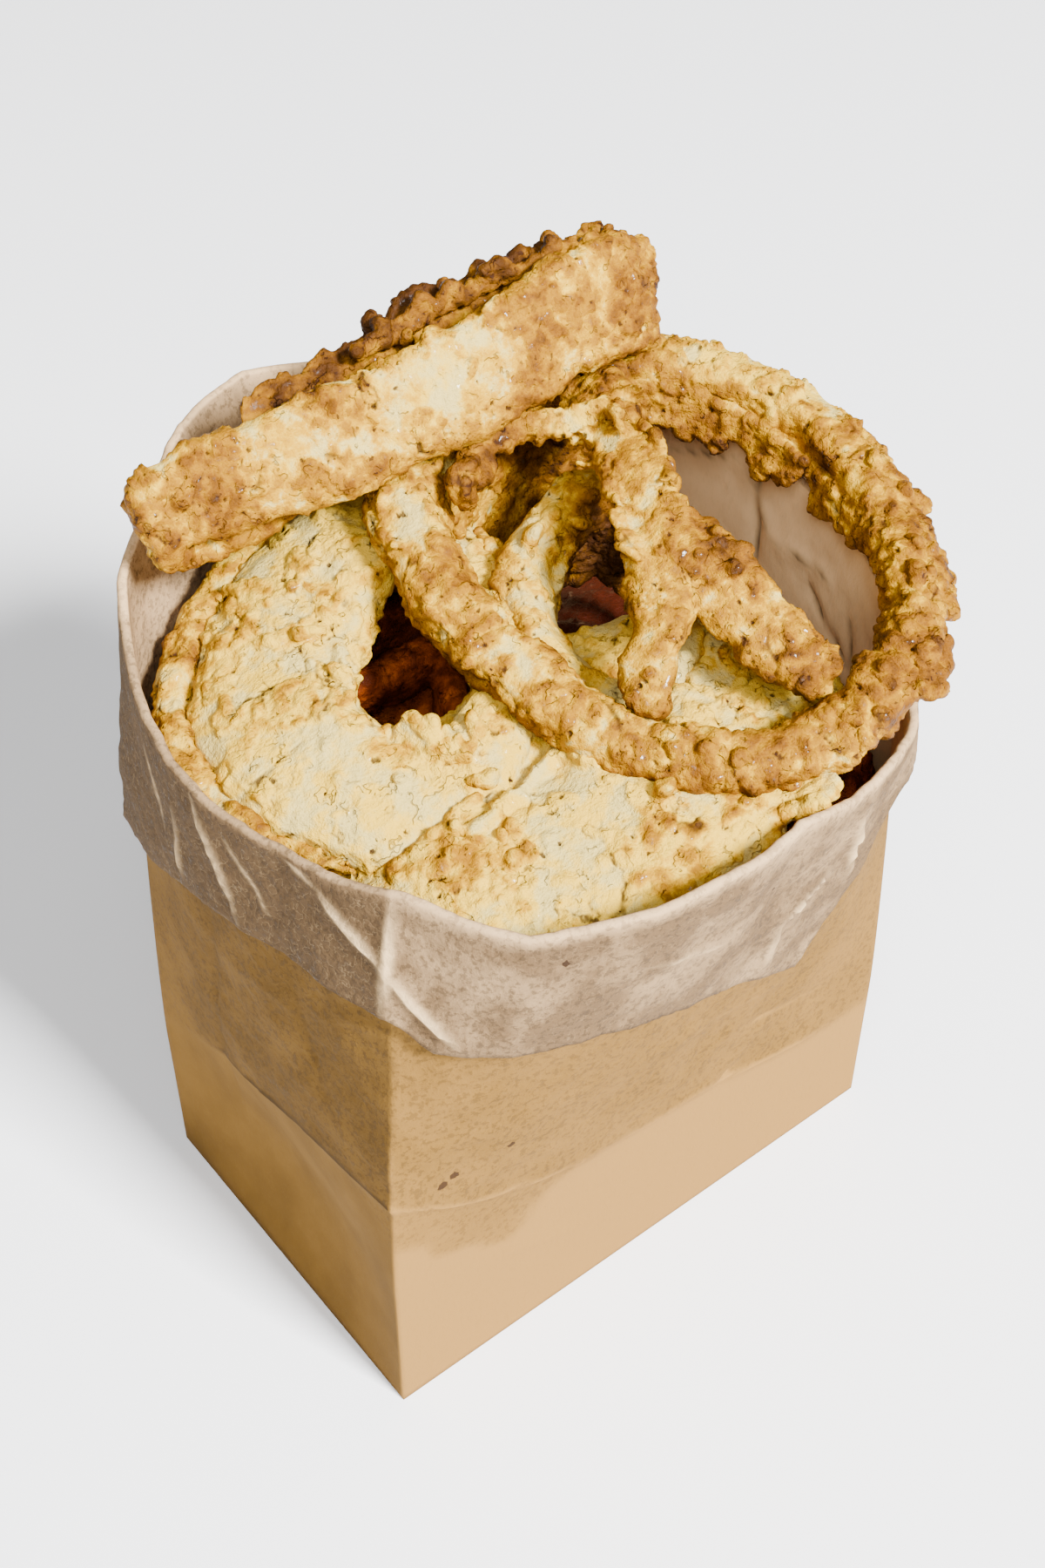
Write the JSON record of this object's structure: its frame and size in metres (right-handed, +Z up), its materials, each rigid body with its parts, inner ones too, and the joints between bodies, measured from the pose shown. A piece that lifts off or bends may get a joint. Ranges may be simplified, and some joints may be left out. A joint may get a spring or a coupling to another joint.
{
  "type": "onion rings side in a paper bag",
  "caption": "Small kraft paper bag with its mouth folded down into a cuff, heaped with fried battered onion rings.",
  "frame": {"origin": "centre of the bag's flat base, on the surface it stands on", "axes": "+Z up out of the bag's mouth, +X along the base's long side, +Y along its short side"},
  "size_m": [0.1344, 0.1277, 0.1731],
  "materials": {
    "kraft_paper": "matt, tan outside and greyish beige inside, creased, with grease marks",
    "batter": "crisp fried batter, cream to golden brown, slightly oily",
    "batter_deep": "fried batter lower in the bag, golden brown and shaded"
  },
  "bodies": {
    "root": {"bag": "kraft_paper", "ring_large": "batter", "ring_top": "batter", "ring_torn": "batter", "ring_left": "batter", "ring_inner": "batter", "ring_front": "batter", "ring_far_left": "batter", "heap": "batter_deep"}
  },
  "joints": []
}
